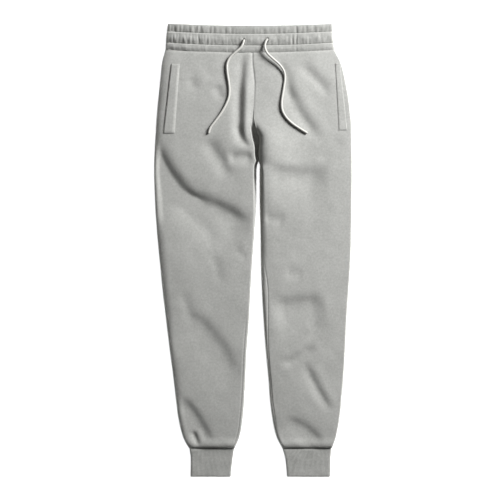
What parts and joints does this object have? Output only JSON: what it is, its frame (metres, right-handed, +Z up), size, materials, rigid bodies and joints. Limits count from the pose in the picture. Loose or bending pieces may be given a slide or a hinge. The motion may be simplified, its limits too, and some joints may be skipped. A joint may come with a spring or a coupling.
{
  "type": "jogger sweatpants",
  "caption": "Long fleece sweatpants laid flat, with a gathered elastic waistband, free drawcord ends, welt pockets and ribbed ankle cuffs.",
  "frame": {"origin": "on the surface that the sweatpants lie on, under the middle of their outline", "axes": "+Y from the cuffs to the waistband, +Z up out of the front of the garment, +X to the wearer's left"},
  "size_m": [0.446, 1.0198, 0.0281],
  "materials": {
    "fleece": "brushed grey heather sweatshirt fleece",
    "rib_knit": "grey heather rib knit",
    "drawcord": "off-white braided cotton"
  },
  "bodies": {
    "root": {"waistband": "fleece", "front_right": "fleece", "front_left": "fleece", "back_right": "fleece", "back_left": "fleece", "pocket_welt_right": "fleece", "pocket_welt_left": "fleece", "cuff_right": "rib_knit", "cuff_left": "rib_knit", "drawcord_right": "drawcord", "drawcord_left": "drawcord"}
  },
  "joints": []
}
